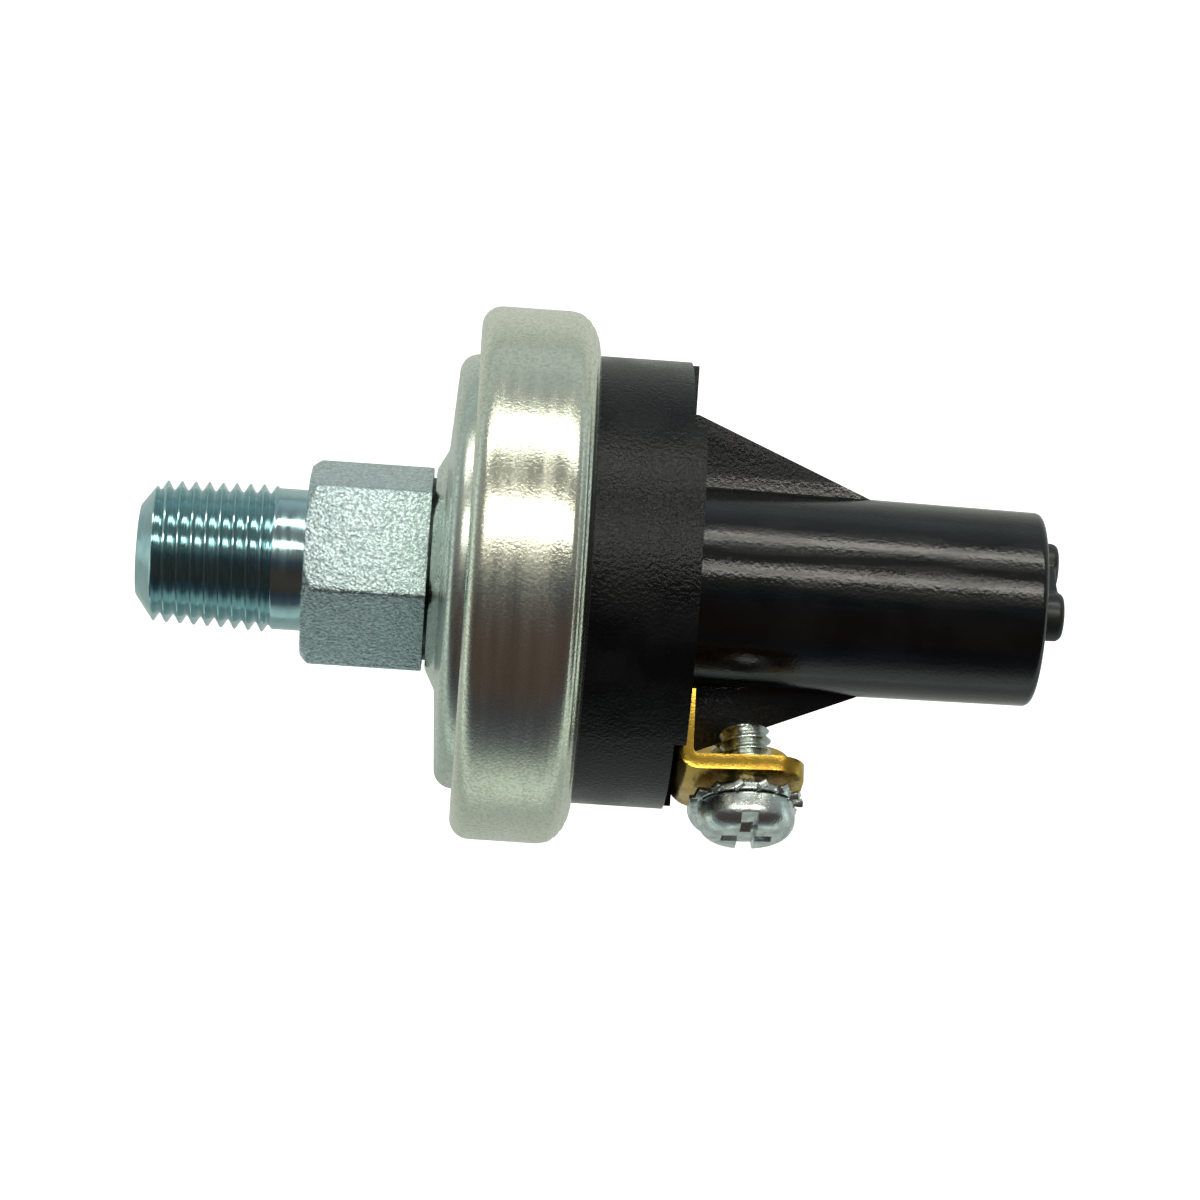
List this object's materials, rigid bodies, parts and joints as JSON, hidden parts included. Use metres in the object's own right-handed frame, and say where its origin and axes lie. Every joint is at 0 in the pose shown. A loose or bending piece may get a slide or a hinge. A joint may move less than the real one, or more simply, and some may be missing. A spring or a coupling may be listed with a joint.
{
  "type": "pressure switch",
  "caption": "Diaphragm pressure switch with a tapered pipe thread, hexagon, crimped steel cup, moulded tower with gusset fins and screw terminals.",
  "frame": {"origin": "centre of the port's end face, at the mouth of the pressure port", "axes": "+Z along the switch's axis from the port to the moulded tower, -Y midway between the two screw terminals, with the tower's fins in the YZ plane"},
  "size_m": [0.0368, 0.0368, 0.0635],
  "materials": {
    "fitting_zinc": "bright zinc plating with a cool blue tint",
    "cup_zinc": "satin zinc plating on drawn sheet",
    "ring_zinc": "satin zinc plating on drawn sheet, with a faint yellow tint",
    "gasket_rubber": "matte nitrile rubber",
    "diaphragm_film": "amber polyimide film",
    "piston_plastic": "natural moulded plastic",
    "guide_board": "brown laminated board",
    "bridge_copper": "rolled spring copper alloy",
    "contact_silver": "plain silver alloy",
    "spring_steel": "drawn spring wire",
    "seat_steel": "turned steel",
    "adjuster_brass": "turned brass",
    "plug_rubber": "satin black rubber",
    "housing_black": "black moulding, grained on the disc and glossy on the tower",
    "terminal_brass": "bright rolled brass with darker coined edges",
    "screw_zinc": "bright zinc plating",
    "washer_zinc": "bright zinc plating on spring steel"
  },
  "bodies": {
    "switch_body": {"port_fitting": "fitting_zinc", "pressure_cup": "cup_zinc", "crimp_ring": "ring_zinc", "flange_gasket": "gasket_rubber", "diaphragm": "diaphragm_film", "piston_guide": "guide_board", "housing": "housing_black", "left_terminal": "terminal_brass", "right_terminal": "terminal_brass", "fixed_contacts": "contact_silver"},
    "piston": {"piston": "piston_plastic", "contact_bridge": "bridge_copper", "bridge_contacts": "contact_silver", "spring_cup": "piston_plastic", "range_spring": "spring_steel"},
    "spring_seat": {"spring_seat": "seat_steel"},
    "calibration_screw": {"calibration_screw": "adjuster_brass"},
    "seal_plug": {"seal_plug": "plug_rubber"},
    "left_washer": {"left_washer": "washer_zinc"},
    "left_screw": {"left_screw": "screw_zinc"},
    "right_washer": {"right_washer": "washer_zinc"},
    "right_screw": {"right_screw": "screw_zinc"}
  },
  "joints": [
    {"name": "piston_travel", "type": "slide", "parent": "switch_body", "child": "piston", "axis": [0, 0, 1], "range_m": [0, 0.0007], "stiffness_N_per_m": 2500, "springref_m": -0.008, "deforming": ["range_spring"]},
    {"name": "calibration_travel", "type": "slide", "parent": "switch_body", "child": "spring_seat", "axis": [0, 0, 1], "range_m": [-0.002, 0.001], "deforming": ["range_spring"]},
    {"name": "calibration_turn", "type": "hinge", "parent": "spring_seat", "child": "calibration_screw", "pos_m": [0, 0, 0.056], "axis": [0, 0, 1], "range_deg": [-720, 360]},
    {"name": "plug_pull", "type": "slide", "parent": "switch_body", "child": "seal_plug", "axis": [0, 0, 1], "range_m": [0, 0.006]},
    {"name": "left_screw_travel", "type": "slide", "parent": "switch_body", "child": "left_washer", "axis": [-0.3743, -0.9263, 0.0436], "range_m": [-0.00048, 0.00191]},
    {"name": "left_screw_turn", "type": "hinge", "parent": "left_washer", "child": "left_screw", "pos_m": [0, 0, 0.0418], "axis": [-0.3743, -0.9263, 0.0436], "range_deg": [-216, 864]},
    {"name": "right_screw_travel", "type": "slide", "parent": "switch_body", "child": "right_washer", "axis": [0.3743, -0.9263, 0.0436], "range_m": [-0.00048, 0.00191]},
    {"name": "right_screw_turn", "type": "hinge", "parent": "right_washer", "child": "right_screw", "pos_m": [0, 0, 0.0418], "axis": [0.3743, -0.9263, 0.0436], "range_deg": [-216, 864]}
  ],
  "couplings": [
    {"joint": "calibration_turn", "follows": "calibration_travel", "rad_per_m": 6283},
    {"joint": "left_screw_turn", "follows": "left_screw_travel", "rad_per_m": 7913},
    {"joint": "right_screw_turn", "follows": "right_screw_travel", "rad_per_m": 7913}
  ]
}
